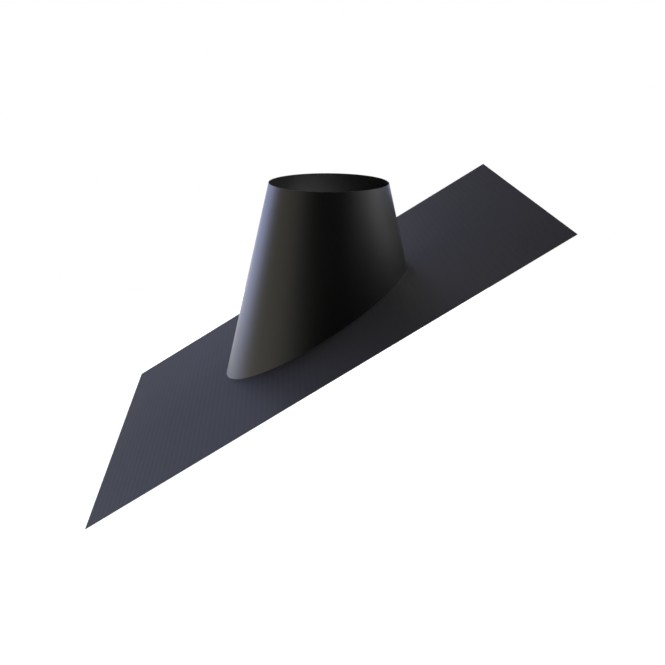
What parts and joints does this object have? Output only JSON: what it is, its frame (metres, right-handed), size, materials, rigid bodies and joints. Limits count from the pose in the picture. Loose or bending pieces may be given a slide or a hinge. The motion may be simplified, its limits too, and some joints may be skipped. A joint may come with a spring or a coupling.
{
  "type": "roof flashing",
  "caption": "Roof flashing for an upright flue: black rolled cone collar on a flat, finely ribbed slate-grey sheet that lies on a pitched roof.",
  "frame": {"origin": "middle of the sheet's underside, at the centre of its oval opening", "axes": "+Z is vertical, along the flue; +X points up the roof slope, seen in plan; +Y runs across the slope"},
  "size_m": [0.7638, 0.75, 0.4975],
  "materials": {
    "sheet_coating": "matt slate-grey coating on a finely ribbed sheet",
    "collar_coating": "satin black powder coat"
  },
  "bodies": {
    "root": {"base_sheet": "sheet_coating", "collar": "collar_coating"}
  },
  "joints": []
}
